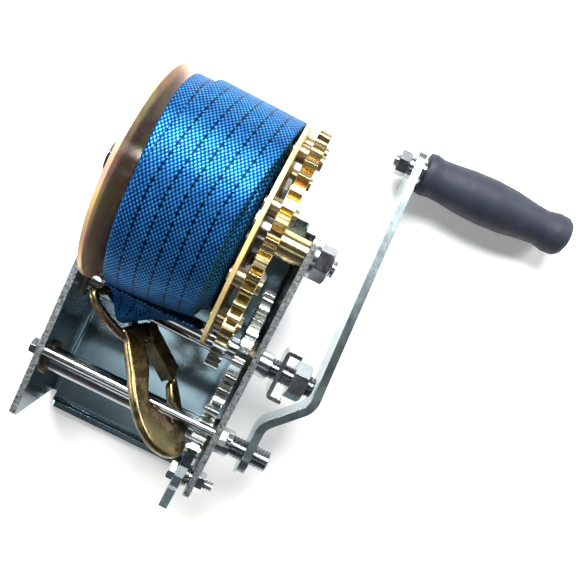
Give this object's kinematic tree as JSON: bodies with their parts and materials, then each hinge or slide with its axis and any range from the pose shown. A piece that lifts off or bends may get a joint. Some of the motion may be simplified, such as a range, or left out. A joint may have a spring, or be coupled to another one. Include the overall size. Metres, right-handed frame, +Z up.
{
  "type": "boat trailer winch",
  "caption": "Hand winch with a folded steel frame, two-stage gear train, flanged drum wound with a flat blue strap, snap hook, ratchet pawl and a cranked arm with a turning grip",
  "frame": {"origin": "on the underside of the frame's base, midway between the side plates and midway between the end lips", "axes": "+X along the shafts towards the crank, +Y along the frame towards the drum, +Z up from the base"},
  "size_m": [0.2396, 0.2515, 0.131],
  "materials": {
    "clear_zinc": "clear zinc plated steel, faintly blue",
    "bright_zinc": "bright zinc plated steel",
    "yellow_zinc": "yellow zinc plated steel, rainbow tinted",
    "bronze_zinc": "olive bronze zinc plated steel",
    "spring_steel": "oiled spring steel",
    "bush_bronze": "sintered bronze",
    "strap": "blue woven polyester webbing with black tracer lines",
    "grip_plastic": "moulded black plastic"
  },
  "bodies": {
    "frame": {"frame": "clear_zinc", "axle_bolt": "bright_zinc", "axle_spacer": "yellow_zinc", "axle_thrust_washer": "bright_zinc", "axle_washer": "bright_zinc", "axle_nut": "bright_zinc", "middle_bush_left": "bush_bronze", "middle_bush_right": "bush_bronze", "drive_bush_left": "bush_bronze", "drive_bush_right": "bush_bronze", "tie_rod": "bright_zinc", "tie_rod_nut": "bright_zinc", "pawl_bolt": "bright_zinc", "pawl_bush": "bright_zinc", "pawl_nut": "bright_zinc", "pawl_spring": "spring_steel"},
    "drum": {"drum_core": "clear_zinc", "drum_bush_left": "bush_bronze", "drum_bush_right": "bush_bronze", "left_flange": "yellow_zinc", "right_flange": "yellow_zinc", "drum_gear": "yellow_zinc", "gear_rivets": "yellow_zinc", "gear_spacers": "yellow_zinc", "strap_roll": "strap", "strap_anchor_bolt": "bright_zinc", "strap_anchor_nut": "bright_zinc"},
    "middle_shaft": {"middle_shaft": "bright_zinc", "middle_collar": "bright_zinc", "middle_pinion": "clear_zinc", "middle_wheel": "clear_zinc", "crank_saddle": "bright_zinc", "saddle_nut": "bright_zinc"},
    "crank": {"drive_shaft": "bright_zinc", "drive_collar": "bright_zinc", "drive_pinion": "clear_zinc", "crank_arm": "clear_zinc", "grip_spindle": "bright_zinc", "grip_spring_washer": "bright_zinc", "grip_nut": "bright_zinc"},
    "grip": {"grip": "grip_plastic"},
    "pawl": {"pawl": "clear_zinc"},
    "hook": {"hook_body": "bronze_zinc", "latch_pin": "bronze_zinc", "strap_tail": "strap"},
    "latch": {"hook_latch": "bronze_zinc", "latch_spring": "spring_steel"}
  },
  "joints": [
    {"name": "drum_spin", "type": "hinge", "parent": "frame", "child": "drum", "pos_m": [0, 0.068, 0.0695], "axis": [1, 0, 0], "continuous": true},
    {"name": "middle_spin", "type": "hinge", "parent": "frame", "child": "middle_shaft", "pos_m": [0, 0.00399, 0.044], "axis": [1, 0, 0], "continuous": true},
    {"name": "crank_spin", "type": "hinge", "parent": "frame", "child": "crank", "pos_m": [0, -0.04356, 0.047], "axis": [1, 0, 0], "continuous": true},
    {"name": "grip_spin", "type": "hinge", "parent": "crank", "child": "grip", "pos_m": [0.1669, 0.14237, 0.01589], "axis": [0.999, 0.043, -0.0072], "continuous": true},
    {"name": "pawl_pivot", "type": "hinge", "parent": "frame", "child": "pawl", "pos_m": [0, -0.071, 0.045], "axis": [1, 0, 0], "range_deg": [0, 30], "stiffness_Nm_per_rad": 0.05, "springref_deg": -28.65, "deforming": ["pawl_spring"]},
    {"name": "hook_lift", "type": "hinge", "parent": "frame", "child": "hook", "pos_m": [0, -0.036, 0.063], "axis": [1, 0, 0], "range_deg": [0, 3]},
    {"name": "latch_pivot", "type": "hinge", "parent": "hook", "child": "latch", "pos_m": [-0.00684, -0.00556, 0.05273], "axis": [-0.5368, -0.6257, -0.5661], "range_deg": [0, 16], "stiffness_Nm_per_rad": 0.02, "springref_deg": -34.38, "deforming": ["latch_spring"]}
  ],
  "couplings": [
    {"joint": "middle_spin", "follows": "drum_spin", "ratio": -4.5},
    {"joint": "crank_spin", "follows": "drum_spin", "ratio": 12.6}
  ]
}
